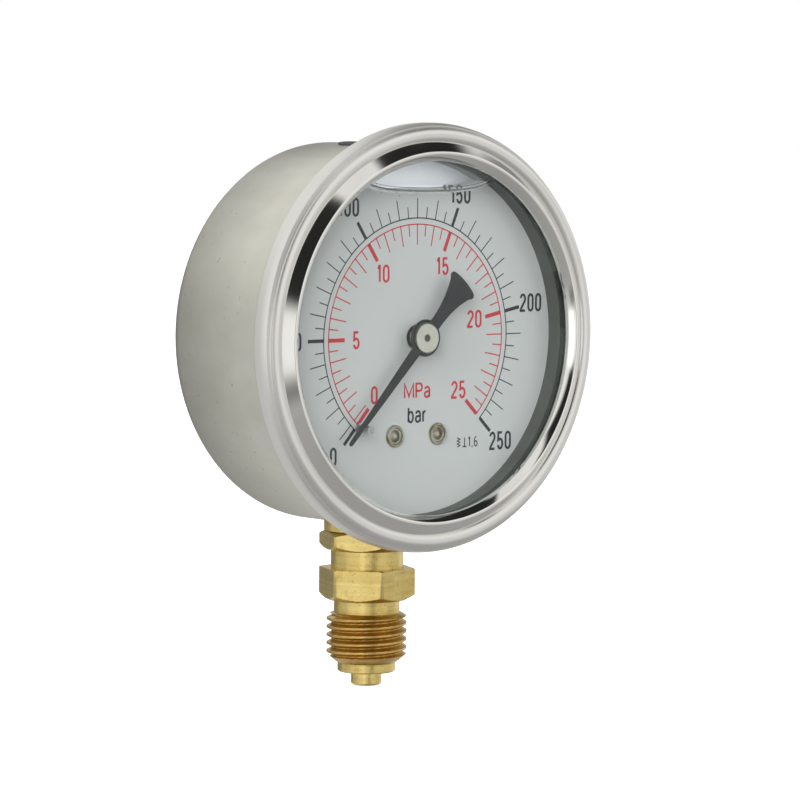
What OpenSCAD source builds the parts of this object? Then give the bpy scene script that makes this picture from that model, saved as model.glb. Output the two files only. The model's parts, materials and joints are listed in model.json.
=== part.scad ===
// Liquid-filled Bourdon tube pressure gauge, nominal size 63, with a bottom connection.
// The origin is on the axis of the process connection, at the sealing face of its spigot.
// +Z points up towards the dial axis, the dial faces -Y, and +X is to the right of the dial.

/* [Case] */
// Height of the dial axis above the sealing face
axis_h = 55.4; // [55:0.1:57]
// Outside diameter of the cylindrical case
case_d = 62.2; // [62:0.1:62.6]
// Sheet thickness of the case
case_wall = 0.8; // [0.6:0.1:0.9]
// Distance from the stem axis back to the rear face of the case
case_back = 12.6; // [12.4:0.1:16]
// Radius of the rounded rear edge of the case
case_edge_r = 2.4; // [1.5:0.1:4]
// Diameter of the rubber filling plug on top of the case
plug_d = 10.4; // [10:0.1:12]

/* [Bezel] */
// Outside diameter of the crimped bezel ring
bezel_d = 69; // [68.6:0.1:70]
// Diameter of the visible opening
opening_d = 56.8; // [56:0.1:57]
// Distance from the stem axis forward to the highest line of the bezel
bezel_front = 18.3; // [18.1:0.1:18.9]
// Thickness of the window
window_t = 1.6; // [1.2:0.1:1.8]

/* [Process connection] */
// Major diameter of the G1/4 B thread
thread_d = 13.157; // [13:0.001:13.2]
// Pitch of the G1/4 B thread
thread_pitch = 1.337; // [1.3:0.001:1.34]
// Diameter of the sealing spigot
spigot_d = 9.5; // [9:0.1:10]
// Diameter of the pilot tip that centres the sealing washer
tip_d = 5; // [4.6:0.1:6]
// Length of the pilot tip
tip_len = 2.2; // [1.5:0.1:3]
// Width across flats of both hexagons
hex_af = 14; // [13:0.1:14.4]
// Diameter of the pressure bore
bore_d = 3; // [2:0.1:3.2]

/* [Dial and pointer] */
// Distance from the stem axis forward to the printed face of the dial
dial_face = 10; // [9.9:0.1:10.2]
// Diameter of the dial
dial_d = 58; // [57:0.1:60]
// Angle of the pointer at zero, clockwise from the top of the dial
zero_angle = -137; // [-140:1:-130]
// Length of the pointer from its axis to its tip
pointer_len = 22.7; // [20:0.1:24]
// Distance between the two dial screws
dial_screw_gap = 9; // [8.6:0.1:9.4]

/* [Movement] */
// Module of the gear teeth
gear_m = 0.2; // [0.18:0.01:0.2]
// Number of teeth on the pinion
pinion_teeth = 14; // [12:1:14]
// Pinion turns for one turn of the sector
gear_ratio = 8; // [8:1:8]
// Full travel of the pointer in degrees
pointer_travel = 272; // [240:1:272]
// Distance from the sector axis to the pin on its tail
tail_r = 3.2; // [3:0.1:3.4]
// Mean radius of the Bourdon tube
tube_r = 19.5; // [19:0.1:20]

/* [Hidden] */
$fn = 96;

steel = "#c9c8c2";
brass = "#d3b35a";
bronze = "#b98a4a";
rubber = "#3a3d3c";

// Depths along Y, counted from the stem axis; the dial side is negative
case_r = case_d / 2;
case_in_r = case_r - case_wall;
front_y = -bezel_front;
window_front_y = front_y + 1.7;
window_back_y = window_front_y + window_t;
flange_front_y = window_back_y + 0.4;
flange_back_y = flange_front_y + 0.6;
bezel_back_y = flange_back_y + 0.5;
dial_y = -dial_face;
dial_t = 0.6;
dial_back_y = dial_y + dial_t;
pointer_y = dial_y - 4;
pointer_t = 0.3;
cap_t = 0.7;
plate_t = 0.8;
front_plate_y = dial_back_y + 0.5;
back_plate_y = front_plate_y + plate_t + 3.5;
socket_front_y = back_plate_y + plate_t;
sector_y = front_plate_y + plate_t + 1.1;
sector_t = 0.8;
link_y = sector_y + sector_t + 0.2;
link_t = 0.6;
spring_y = link_y + link_t;
tube_w = 8;
tube_t = 3;
tube_y = socket_front_y + 2.5 + tube_w / 2;

// Radii of the bezel and of what it clamps
bezel_r = bezel_d / 2;
opening_r = opening_d / 2;
flange_r = bezel_r - 0.7;
window_r = 32.4;
gasket_in_r = 28.6;

// Heights along Z, counted from the sealing face
case_low_z = axis_h - case_r;
hex_z = 11.9;
hex_h = 5.2;
neck_r = 5.95;
nut_h = 3.2;
washer_r = 7.1;
washer_z = case_low_z - 0.95;
nut_z = washer_z - nut_h;
shoulder_z = axis_h - case_in_r + 1;
stem_top_z = shoulder_z + 5.5;
stem_top_r = 5;
thread_r = thread_d / 2;
thread_core_r = thread_r - 0.856;
thread_first_z = 2.81;
thread_turns = 5;
hex_turn = 8.67;
thread_clearance = 0.03;

// Gear train: the pinion is on the dial axis, the sector is below it
pinion_r = gear_m * pinion_teeth / 2;
sector_r = pinion_r * gear_ratio;
sector_teeth = pinion_teeth * gear_ratio;
sector_x = 0;
sector_h = -(pinion_r + sector_r);
sector_swing = pointer_travel / gear_ratio;
pressure_angle = 25;
backlash = 0.06;
first_tooth = -2;
last_tooth = 11;

// Linkage: the tail hangs below the sector, the link runs right to the tube's end
tail_x = sector_x - tail_r * sin(sector_swing / 2);
tail_h = sector_h - tail_r * cos(sector_swing / 2);
tip_x = 10;
tip_h = sector_h - tail_r * (1 + cos(sector_swing / 2)) / 2;
tube_start = -98;
tube_end = -402;
tail_pin_r = 0.45;
tail_hole_r = 0.6;
tip_pin_r = 0.5;

// Pillars, screws and bushes of the movement
pillar_places = [[-6.8, -10.5], [6.8, -10.5], [0, 6.8]];
pillar_r = 1.2;
socket_screw_places = [[-4.8, -19.2], [4.8, -19.2]];
dial_screw_h = -15.75;
dial_screw_places = [[-dial_screw_gap / 2, dial_screw_h], [dial_screw_gap / 2, dial_screw_h]];
axis_places = [[0, 0], [sector_x, sector_h]];
shaft_r = 0.8;
pivot_r = 0.5;
running_gap = 0.04;
bush_r = 1.7;
dial_hole_r = 2.1;
stop_angle = zero_angle - 3.9;
stop_r = 18.4;
stop_pin_r = 0.7;

// Points of a circular arc, both ends included
function arc(x, y, r, from, to, steps = 8) =
    [for (i = [0 : steps]) let (a = from + (to - from) * i / steps) [x + r * cos(a), y + r * sin(a)]];

// Point at a clock angle on the dial, measured clockwise from the top
function clock(r, angle) = [r * sin(angle), r * cos(angle)];

// Revolve a profile of [radius, depth] about the dial axis
module about_dial() {
    translate([0, 0, axis_h]) rotate([-90, 0, 0]) rotate_extrude() children();
}

// Plate parallel to the dial: its outline is drawn as [x, height above the dial axis]
module slab(y, thickness) {
    translate([0, y + thickness, axis_h]) rotate([90, 0, 0]) linear_extrude(thickness) children();
}

// Round piece along Y at a place [x, height above the dial axis]
module rod(place, y, length, r) {
    translate([place[0], y, axis_h + place[1]]) rotate([-90, 0, 0]) cylinder(h = length, r = r);
}

// Round piece along Z on the stem axis
module post(z, height, r) {
    translate([0, 0, z]) cylinder(h = height, r = r);
}

// Straight bar with round ends between two places, as a flat outline
module bar_2d(a, b, width) {
    along = b - a;
    translate(a) rotate(atan2(along[1], along[0])) translate([0, -width / 2]) square([norm(along), width]);
    for (end = [a, b]) translate(end) circle(d = width);
}

// Hexagonal prism whose corners are turned down at one or both ends
module hexagon(z, height, low_r, high_r) {
    corner_r = hex_af / 2 / cos(30);
    slope = tan(30);
    intersection() {
        translate([0, 0, z]) rotate(hex_turn) cylinder(h = height, r = corner_r, $fn = 6);
        rotate_extrude() polygon([
            [0, z], [low_r, z], [corner_r + 0.1, z + (corner_r + 0.1 - low_r) * slope],
            [corner_r + 0.1, z + height - (corner_r + 0.1 - high_r) * slope], [high_r, z + height], [0, z + height]
        ]);
    }
}

// The cylinder that the outside of the case fills, used to seat the pieces under it
module case_envelope(r) {
    rod([0, 0], -20, 40, r);
}

module case() {
    inner_edge_r = case_edge_r - case_wall;
    color(steel) difference() {
        about_dial() polygon(concat(
            [[0, case_back]],
            arc(case_r - case_edge_r, case_back - case_edge_r, case_edge_r, 90, 0),
            [[case_r, flange_back_y], [flange_r, flange_back_y], [flange_r, flange_front_y], [case_in_r, flange_front_y]],
            arc(case_in_r - inner_edge_r, case_back - case_edge_r, inner_edge_r, 0, 90),
            [[0, case_back - case_wall]]
        ));
        post(case_low_z - 3, 8, neck_r + 0.25);
        post(axis_h + case_r - 4, 6, plug_d / 2 - 1.2);
    }
}

// Crimped ring: skirt, round corner, outer bead, groove, and a ridge with two conical flanks
module bezel_ring() {
    corner_r = 1.6;
    bead_mid_r = 32.55;
    bead_r = 1.6;
    groove_r = 31.42;
    ridge_mid_r = 29.8;
    ridge_r = 0.7;
    color("#dddcd6") about_dial() polygon(concat(
        [[case_r + 0.3, flange_back_y], [case_r + 0.3, bezel_back_y]],
        arc(bezel_r - 0.5, bezel_back_y - 0.5, 0.5, 90, 0, 4),
        arc(bezel_r - corner_r, front_y + 1.4 + corner_r, corner_r, 0, -64, 6),
        arc(bead_mid_r, front_y + 0.85 + bead_r, bead_r, -54, -126, 8),
        [[groove_r + 0.12, front_y + 1.2], [groove_r, front_y + 1.2]],
        arc(ridge_mid_r, front_y + ridge_r, ridge_r, -48, -132, 6),
        [[opening_r, front_y + 1.02], [opening_r, window_front_y]],
        [[flange_r + 0.05, window_front_y], [flange_r + 0.05, flange_back_y]]
    ));
}

module window() {
    color([0.85, 0.9, 0.92, 0.35]) about_dial() translate([0, window_front_y]) square([window_r, window_t]);
}

module window_gasket() {
    wall_r = case_in_r - 0.1;
    color(rubber) about_dial() polygon([
        [gasket_in_r, window_back_y], [window_r + 0.1, window_back_y], [window_r + 0.1, window_front_y],
        [flange_r, window_front_y], [flange_r, flange_front_y], [wall_r, flange_front_y],
        [wall_r, dial_y], [gasket_in_r, dial_y]
    ]);
}

module fill_plug() {
    hole_r = plug_d / 2 - 1.2;
    head_z = axis_h + case_r;
    color(rubber) {
        intersection() {
            post(head_z - 2, 3, plug_d / 2);
            difference() {
                case_envelope(case_r + 0.2);
                case_envelope(case_r);
            }
        }
        difference() {
            post(head_z - 3.4, 3.4, hole_r);
            post(head_z - 4, 2.2, hole_r - 1.6);
            translate([0, 0, 0.1]) difference() {
                post(head_z - 1, 2, hole_r + 1);
                case_envelope(case_r + 0.1);
            }
        }
        intersection() {
            difference() {
                post(head_z - 4, 3, hole_r + 0.7);
                post(head_z - 5, 5, hole_r - 1.6);
            }
            difference() {
                case_envelope(case_in_r);
                case_envelope(case_in_r - 0.7);
            }
        }
    }
}

// One turn of the thread as a ridge of its true crest diameter
module thread_ridge(z) {
    half_base = thread_pitch / 2;
    half_crest = 0.17;
    rotate_extrude() polygon([
        [thread_core_r - 0.1, z - half_base], [thread_core_r, z - half_base],
        [thread_r, z - half_crest], [thread_r, z + half_crest],
        [thread_core_r, z + half_base], [thread_core_r - 0.1, z + half_base]
    ]);
}

module stem() {
    core_end_z = thread_first_z + thread_turns * thread_pitch;
    color(brass) difference() {
        union() {
            rotate_extrude() polygon(concat(
                [[0, -tip_len], [tip_d / 2 - 0.3, -tip_len], [tip_d / 2, 0.3 - tip_len], [tip_d / 2, 0]],
                [[spigot_d / 2 - 0.2, 0], [spigot_d / 2, 0.2], [spigot_d / 2, 1.5], [thread_core_r, 2.1]],
                [[thread_core_r, core_end_z], [5.4, core_end_z + 0.4], [5.4, hex_z], [neck_r, hex_z + hex_h]],
                [[neck_r, shoulder_z], [stem_top_r, shoulder_z], [stem_top_r, stem_top_z], [0, stem_top_z]]
            ));
            for (turn = [0 : thread_turns - 1]) thread_ridge(thread_first_z + turn * thread_pitch);
            hexagon(hex_z, hex_h, 6.5, 7.9);
        }
        post(-tip_len - 1, stem_top_z + tip_len + 2, bore_d / 2);
    }
}

module restrictor_screw() {
    color(steel) difference() {
        post(-tip_len + 0.6, 3.4, bore_d / 2 - thread_clearance);
        post(-tip_len - 1, 8, 0.3);
        translate([-2, -0.25, -tip_len]) cube([4, 0.5, 1.2]);
    }
}

module tube_socket() {
    block_w = 14;
    block_high = -16.6;
    seat_top_z = shoulder_z + 7.2;
    passage_z = axis_h - tube_r;
    passage_len = 3.2;
    color(brass) difference() {
        union() {
            post(shoulder_z, seat_top_z - shoulder_z, 7.6);
            translate([-block_w / 2, socket_front_y, seat_top_z - 0.5])
                cube([block_w, tube_w + 4, axis_h + block_high - seat_top_z + 0.5]);
        }
        post(shoulder_z - 1, stem_top_z - shoulder_z + 1, stem_top_r + thread_clearance);
        post(shoulder_z, passage_z - shoulder_z, bore_d / 2);
        translate([-passage_len, 1.2, passage_z]) rotate([0, 90, 0]) cylinder(h = passage_len, r = 0.9);
        tube_sweep(tube_w, tube_t, tube_start, -140);
        for (place = socket_screw_places) rod(place, socket_front_y - 1, 3.3, 0.8);
    }
}

module lock_nut() {
    color(brass) difference() {
        hexagon(nut_z, nut_h, 6.7, 6.7);
        post(nut_z - 1, nut_h + 2, neck_r + thread_clearance);
    }
}

module saddle_washer() {
    color(brass) difference() {
        post(washer_z, 3, washer_r);
        post(washer_z - 1, 6, neck_r + 0.2);
        case_envelope(case_r);
    }
}

module case_seal() {
    $fn = 360;
    color(rubber) intersection() {
        difference() {
            post(case_low_z - 1, shoulder_z - case_low_z + 1, 7.6);
            post(case_low_z - 2, 6, neck_r + 0.1);
        }
        case_envelope(case_in_r);
    }
}

// Flattened tube profile swept from one angle to another about the dial axis
module tube_sweep(width, thickness, from, to) {
    straight = width - thickness;
    translate([0, 0, axis_h]) rotate([-90, 0, 0]) rotate(-from) rotate_extrude(angle = from - to)
        translate([tube_r, tube_y]) {
            square([thickness, straight], center = true);
            for (side = [-1, 1]) translate([0, side * straight / 2]) circle(d = thickness);
        }
}

module bourdon_tube() {
    wall = 0.6;
    color(bronze) difference() {
        tube_sweep(tube_w, tube_t, tube_start, tube_end);
        tube_sweep(tube_w - 2 * wall, tube_t - 2 * wall, tube_start + 1, tube_end - 1);
    }
}

module tube_end_piece() {
    end_angle = tube_end + 360;
    along = [tube_r * cos(end_angle), tube_r * sin(end_angle)];
    color(brass) difference() {
        union() {
            slab(tube_y - tube_w / 2 - 0.4, tube_w + 0.8) difference() {
                bar_2d([tip_x, tip_h], along * 0.98, 2.6);
                rotate(end_angle) translate([0, -0.02]) square([40, 20]);
            }
            rod([tip_x, tip_h], tube_y - tube_w / 2 - 0.4, 3, 1.3);
        }
        rod([tip_x, tip_h], tube_y - tube_w / 2 - 1, 3, tip_pin_r);
    }
}

module tip_pin() {
    pin_back_y = tube_y - tube_w / 2 + 2;
    color(steel) {
        rod([tip_x, tip_h], link_y - 0.2, pin_back_y - link_y + 0.2, tip_pin_r);
        rod([tip_x, tip_h], link_y - 0.5, 0.3, 0.9);
    }
}

module link() {
    color(brass) slab(link_y, link_t) difference() {
        bar_2d([tail_x, tail_h], [tip_x, tip_h], 1.7);
        translate([tip_x, tip_h]) circle(r = tip_pin_r + running_gap);
        translate([tail_x, tail_h]) circle(r = tail_hole_r);
    }
}

// Solid shared by both plates of the movement, before its holes
module plate_blank(y, foot_low) {
    slab(y, plate_t) polygon([
        [-8, -12.4], [-8, -9.4], [-2.4, 7.6], [-1.2, 8.8], [1.2, 8.8], [2.4, 7.6],
        [8, -9.4], [8, -12.4], [6.4, -14], [6.4, foot_low], [-6.4, foot_low], [-6.4, -14]
    ]);
}

// Holes along Y right through a plate
module plate_holes(places, y, r) {
    for (place = places) rod(place, y - 1, plate_t + 2, r);
}

module front_plate() {
    color(brass) difference() {
        plate_blank(front_plate_y, -17.4);
        plate_holes(axis_places, front_plate_y, bush_r);
        plate_holes(dial_screw_places, front_plate_y, 0.8);
        plate_holes(pillar_places, front_plate_y, 0.6);
    }
}

module back_plate() {
    color(brass) difference() {
        plate_blank(back_plate_y, -21);
        plate_holes(axis_places, back_plate_y, bush_r);
        plate_holes(socket_screw_places, back_plate_y, 0.8);
        plate_holes(pillar_places, back_plate_y, 0.6);
    }
}

module plate_pillars() {
    gap_y = front_plate_y + plate_t;
    color(brass) for (place = pillar_places) rod(place, gap_y, back_plate_y - gap_y, pillar_r);
}

// Slotted cheese-head screw along Y, its head towards the dial
module cheese_screw(place, head_y, head_r, head_t, shank_r, shank_len) {
    difference() {
        union() {
            rod(place, head_y, head_t, head_r);
            rod(place, head_y + head_t, shank_len, shank_r);
        }
        translate([place[0], head_y + head_t * 0.25, axis_h + place[1]])
            cube([head_r * 3, head_t * 0.5 + 0.01, 0.35], center = true);
    }
}

module movement_screws() {
    color(steel) for (place = pillar_places) {
        rod(place, front_plate_y - 0.35, 0.35, 1.1);
        rod(place, front_plate_y, plate_t, 0.6);
        rod(place, back_plate_y, plate_t, 0.6);
    }
}

module socket_screws() {
    color(steel) for (place = socket_screw_places)
        cheese_screw(place, back_plate_y - 1, 1.5, 1, 0.8, plate_t + 2.2);
}

// Bearing bushes pressed into the plates; the bores carry the two arbors
module plate_bushes() {
    color(bronze) difference() {
        for (place = axis_places) {
            rod(place, front_plate_y, plate_t, bush_r);
            rod(place, back_plate_y, plate_t, bush_r);
        }
        rod(axis_places[0], front_plate_y - 1, 3, shaft_r + running_gap);
        rod(axis_places[1], front_plate_y - 1, 3, pivot_r + running_gap);
        for (place = axis_places) rod(place, back_plate_y - 1, 3, pivot_r + running_gap);
    }
}

// Involute tooth flank: half the angle that a tooth covers at radius r
function involute(r, base_r) = let (a = acos(min(1, base_r / r))) tan(a) * 180 / PI - a;
function tooth_half(r, pitch_r, teeth) =
    let (base_r = pitch_r * cos(pressure_angle))
    (90 - backlash / gear_m * 180 / PI / 2) / teeth + involute(pitch_r, base_r) - involute(max(r, base_r), base_r);

// Outline points of one tooth centred on a clock angle
function tooth(pitch_r, teeth, angle, steps = 4) =
    let (root_r = pitch_r - 1.3 * gear_m, top_r = pitch_r + 0.95 * gear_m)
    concat(
        [for (i = [0 : steps]) let (r = root_r + (top_r - root_r) * i / steps)
            clock(r, angle - tooth_half(r, pitch_r, teeth))],
        [for (i = [steps : -1 : 0]) let (r = root_r + (top_r - root_r) * i / steps)
            clock(r, angle + tooth_half(r, pitch_r, teeth))]
    );

module pinion() {
    pitch = 360 / pinion_teeth;
    color(brass) slab(sector_y - 0.4, sector_t + 0.8) difference() {
        polygon([for (k = [0 : pinion_teeth - 1]) each tooth(pinion_r, pinion_teeth, 180 + k * pitch)]);
        circle(r = shaft_r);
    }
}

module pinion_shaft() {
    front_end_y = pointer_y - cap_t - 0.02;
    gap_y = front_plate_y + plate_t;
    color(steel) {
        rod([0, 0], front_end_y, pointer_y + 3 - front_end_y, pivot_r);
        rod([0, 0], pointer_y + 3, back_plate_y - pointer_y - 3.1, shaft_r);
        rod([0, 0], back_plate_y - 0.1, plate_t + 0.3, pivot_r);
    }
}

module sector_gear() {
    pitch = 360 / sector_teeth;
    rim_in = sector_r - 1.6;
    root_r = sector_r - 1.3 * gear_m;
    from = (first_tooth - 0.1) * pitch;
    to = (last_tooth + 1.1) * pitch;
    arm_angles = [from + 6, to - 6];
    rim = concat(
        [clock(rim_in, from), clock(root_r, from)],
        [for (k = [first_tooth : last_tooth]) each tooth(sector_r, sector_teeth, (k + 0.5) * pitch)],
        [clock(root_r, to)],
        [for (i = [8 : -1 : 0]) clock(rim_in, from + (to - from) * i / 8)]
    );
    color(brass) difference() {
        union() {
            slab(sector_y, sector_t) translate([sector_x, sector_h]) polygon(rim);
            for (angle = arm_angles) slab(sector_y, sector_t)
                bar_2d([sector_x, sector_h], [sector_x, sector_h] + clock(rim_in + 0.5, angle), 1.3);
            slab(sector_y, sector_t) bar_2d([sector_x, sector_h], [tail_x, tail_h], 2);
            rod([sector_x, sector_h], sector_y, sector_t, 2.2);
        }
        rod([sector_x, sector_h], sector_y - 1, 3, shaft_r);
        rod([tail_x, tail_h], sector_y - 1, 3, tail_pin_r);
    }
}

module sector_arbor() {
    place = [sector_x, sector_h];
    gap_y = front_plate_y + plate_t;
    color(steel) {
        rod(place, gap_y + 0.1, back_plate_y - gap_y - 0.2, shaft_r);
        rod(place, front_plate_y, plate_t + 0.2, pivot_r);
        rod(place, back_plate_y - 0.2, plate_t + 0.2, pivot_r);
    }
}

module tail_pin() {
    color(steel) {
        rod([tail_x, tail_h], sector_y, link_y + link_t - sector_y + 0.2, tail_pin_r);
        rod([tail_x, tail_h], link_y + link_t + 0.1, 0.25, 0.8);
    }
}

module hairspring() {
    turns = 4;
    in_r = 1.35;
    out_r = 4.4;
    steps = 24;
    strip = 0.14;
    total = turns * steps;
    function radius_at(i) = in_r + (out_r - in_r) * i / total;
    color(bronze) slab(spring_y, 0.5) polygon(concat(
        [for (i = [0 : total]) clock(radius_at(i) + strip / 2, i * 360 / steps)],
        [for (i = [total : -1 : 0]) clock(radius_at(i) - strip / 2, i * 360 / steps)]
    ));
}

module hairspring_collet() {
    color(brass) difference() {
        rod([0, 0], spring_y, 0.5, 1.25);
        rod([0, 0], spring_y - 1, 3, shaft_r);
    }
}

module hairspring_stud() {
    color(brass) rod([0, 4.97], spring_y, back_plate_y - spring_y, 0.45);
}

module dial() {
    color("#f1f3f2") difference() {
        rod([0, 0], dial_y, dial_t, dial_d / 2);
        rod([0, 0], dial_y - 1, 3, dial_hole_r);
        for (place = dial_screw_places) rod(place, dial_y - 1, 3, 0.8);
        rod(clock(stop_r, stop_angle), dial_y - 1, 3, stop_pin_r);
    }
}

module dial_spacers() {
    color(brass) difference() {
        for (place = dial_screw_places) rod(place, dial_back_y, front_plate_y - dial_back_y, 1.8);
        for (place = dial_screw_places) rod(place, dial_back_y - 1, 3, 0.8);
    }
}

// Eyelet-like dial screws: a raised rim round a domed centre
module dial_screws() {
    color("#d8d0b4") for (place = dial_screw_places) {
        translate([place[0], 0, axis_h + place[1]]) rotate([-90, 0, 0]) rotate_extrude() polygon(concat(
            [[0, dial_y], [1.8, dial_y], [1.8, dial_y - 0.45]],
            [[1.65, dial_y - 0.6], [1.45, dial_y - 0.6], [1.25, dial_y - 0.3], [1.05, dial_y - 0.3]],
            [for (i = [0 : 4]) [1.0 - i * 0.25, dial_y - 0.35 - 0.35 * sin(i * 22.5)]]
        ));
        rod(place, dial_y, front_plate_y + plate_t - dial_y, 0.8);
    }
}

module stop_pin() {
    place = clock(stop_r, stop_angle);
    color(steel) {
        rod(place, pointer_y - 0.6, dial_back_y - pointer_y + 0.6, stop_pin_r);
        rod(place, dial_y - 0.5, 0.5, 1.05);
    }
}

// Pointer plate: tapered blade, disc and a fan-shaped tail with concave sides and round corners
module pointer() {
    blade = [
        [-0.95, 2], [-0.36, pointer_len - 0.3], [-0.2, pointer_len],
        [0.2, pointer_len], [0.36, pointer_len - 0.3], [0.95, 2]
    ];
    fan_r = 12.2;
    fan_half = 11;
    waist = 1.05;
    side = concat(
        [[waist, 1.6]],
        [for (i = [0 : 8]) let (u = i / 9) [waist + 2 * pow(u, 2.4), 2.6 + 8.9 * u]],
        arc(2.5, 11.3, 0.6, -35, 72, 5)
    );
    tail = concat(
        side,
        [for (i = [3 : -1 : -3]) clock(fan_r, fan_half * i / 3)],
        [for (i = [len(side) - 1 : -1 : 0]) [-side[i][0], side[i][1]]]
    );
    color("#222626") difference() {
        union() {
            slab(pointer_y, pointer_t) rotate(-zero_angle) polygon(blade);
            slab(pointer_y, pointer_t) rotate(180 - zero_angle) polygon(tail);
            rod([0, 0], pointer_y, pointer_t, 3);
        }
        rod([0, 0], pointer_y - 1, 3, 1.2);
    }
}

module pointer_hub() {
    cap_y = pointer_y - cap_t;
    color("#e4e1d8") difference() {
        translate([0, 0, axis_h]) rotate([-90, 0, 0]) rotate_extrude() polygon([
            [0, cap_y], [2.3, cap_y], [2.5, cap_y + 0.2], [2.5, pointer_y], [1.2, pointer_y],
            [1.2, pointer_y + pointer_t], [1.65, pointer_y + pointer_t],
            [1.65, dial_back_y], [0, dial_back_y]
        ]);
        rod([0, 0], cap_y - 1, 6, pivot_r);
        rod([0, 0], pointer_y + 3, 4, shaft_r);
    }
}

case();
bezel_ring();
window();
window_gasket();
fill_plug();
stem();
tube_socket();
lock_nut();
saddle_washer();
case_seal();
restrictor_screw();
bourdon_tube();
tube_end_piece();
tip_pin();
link();
back_plate();
front_plate();
plate_pillars();
movement_screws();
socket_screws();
plate_bushes();
sector_gear();
sector_arbor();
tail_pin();
pinion();
pinion_shaft();
hairspring();
hairspring_collet();
hairspring_stud();
dial();
dial_spacers();
dial_screws();
stop_pin();
pointer();
pointer_hub();
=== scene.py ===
import json
import math

import bmesh
import bpy
from mathutils import Matrix, Vector


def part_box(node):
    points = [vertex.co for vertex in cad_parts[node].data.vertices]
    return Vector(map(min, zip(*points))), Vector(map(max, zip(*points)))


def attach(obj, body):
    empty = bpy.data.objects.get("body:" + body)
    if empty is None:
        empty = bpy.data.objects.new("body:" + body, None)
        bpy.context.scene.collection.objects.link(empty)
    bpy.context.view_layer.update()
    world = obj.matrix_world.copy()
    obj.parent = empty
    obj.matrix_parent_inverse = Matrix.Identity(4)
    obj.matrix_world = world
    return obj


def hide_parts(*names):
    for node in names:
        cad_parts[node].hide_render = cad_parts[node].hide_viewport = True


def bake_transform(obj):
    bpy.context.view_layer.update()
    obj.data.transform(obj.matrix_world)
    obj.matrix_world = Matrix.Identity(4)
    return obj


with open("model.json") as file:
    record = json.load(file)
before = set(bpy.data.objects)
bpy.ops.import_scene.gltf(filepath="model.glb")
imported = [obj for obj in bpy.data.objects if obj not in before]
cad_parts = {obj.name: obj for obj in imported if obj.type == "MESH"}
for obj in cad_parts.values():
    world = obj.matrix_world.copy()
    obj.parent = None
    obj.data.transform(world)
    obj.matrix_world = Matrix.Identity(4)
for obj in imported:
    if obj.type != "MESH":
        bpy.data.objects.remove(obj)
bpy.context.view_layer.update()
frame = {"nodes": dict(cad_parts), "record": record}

MM = 0.001

# ---------------------------------------------------------------- sizes, in millimetres
dial_low, dial_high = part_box("dial")
bezel_low, bezel_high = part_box("bezel_ring")
_, case_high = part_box("case")
window_low, window_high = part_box("window")
stem_low, stem_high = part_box("stem")
nut_low, nut_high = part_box("lock_nut")
AXIS_H = (dial_low.z + dial_high.z) / 2 / MM
DIAL_Y = dial_low.y / MM
BEZEL_R = (bezel_high.x - bezel_low.x) / 2 / MM
BEZEL_FRONT = bezel_low.y / MM
BEZEL_BACK = bezel_high.y / MM
# Outer radius of the case's round wall
CASE_R = 31.1
CASE_BACK = case_high.y / MM
WINDOW_FRONT = window_low.y / MM
WINDOW_BACK = window_high.y / MM
# Inner radius of the dark ring between the window and the dial
GASKET_IN_R = 28.6
STEM_END_Z = stem_low.z / MM
STEM_TOP_Z = stem_high.z / MM
NUT_Z = nut_low.z / MM
NUT_TOP_Z = nut_high.z / MM


# ---------------------------------------------------------------- mesh helpers
def mesh_object(name, verts, faces):
    """New object from points in millimetres."""
    mesh = bpy.data.meshes.new(name)
    mesh.from_pydata([Vector(v) * MM for v in verts], [], faces)
    mesh.validate()
    obj = bpy.data.objects.new(name, mesh)
    bpy.context.scene.collection.objects.link(obj)
    return obj


def place(obj, body, slot, material, *nodes):
    """Give a new piece its body and its material, and hide the CAD nodes that it stands for."""
    if material:
        obj.data.materials.append(material)
    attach(obj, body)
    if nodes:
        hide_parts(*nodes)
    return obj


def loft_faces(rings, count, closed=False, base=0):
    """Quads between rings of count points, the last ring joined to the first when closed."""
    faces = []
    for i in range(rings if closed else rings - 1):
        low, high = base + i * count, base + (i + 1) % rings * count
        for k in range(count):
            n = (k + 1) % count
            faces.append((low + k, low + n, high + n, high + k))
    return faces


def fix_normals(obj):
    """Turn every face of a closed mesh outwards."""
    bm = bmesh.new()
    bm.from_mesh(obj.data)
    bmesh.ops.remove_doubles(bm, verts=bm.verts, dist=1e-8)
    bmesh.ops.recalc_face_normals(bm, faces=bm.faces)
    bm.to_mesh(obj.data)
    bm.free()


def smooth(obj, sharp_angle):
    """Outward faces, smooth apart from edges over sharp_angle degrees."""
    fix_normals(obj)
    obj.data.shade_smooth()
    obj.data.set_sharp_from_angle(angle=math.radians(sharp_angle))
    return obj


def revolve(name, profile, steps, sharp_angle=35):
    """Closed profile of (radius, y) revolved about the dial axis."""
    verts = []
    for i in range(steps):
        a = 2 * math.pi * i / steps
        verts += [(r * math.sin(a), y, AXIS_H + r * math.cos(a)) for r, y in profile]
    return smooth(mesh_object(name, verts, loft_faces(steps, len(profile), True)), sharp_angle)


def arc(cx, cy, r, start, end, steps=10):
    """Points of a circular arc, both ends included, in degrees."""
    angles = [math.radians(start + (end - start) * i / steps) for i in range(steps + 1)]
    return [(cx + r * math.cos(a), cy + r * math.sin(a)) for a in angles]


def clock(r, degrees):
    """Point [x, height above the dial axis] at a clock angle, clockwise from the top."""
    a = math.radians(degrees)
    return r * math.sin(a), r * math.cos(a)


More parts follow.
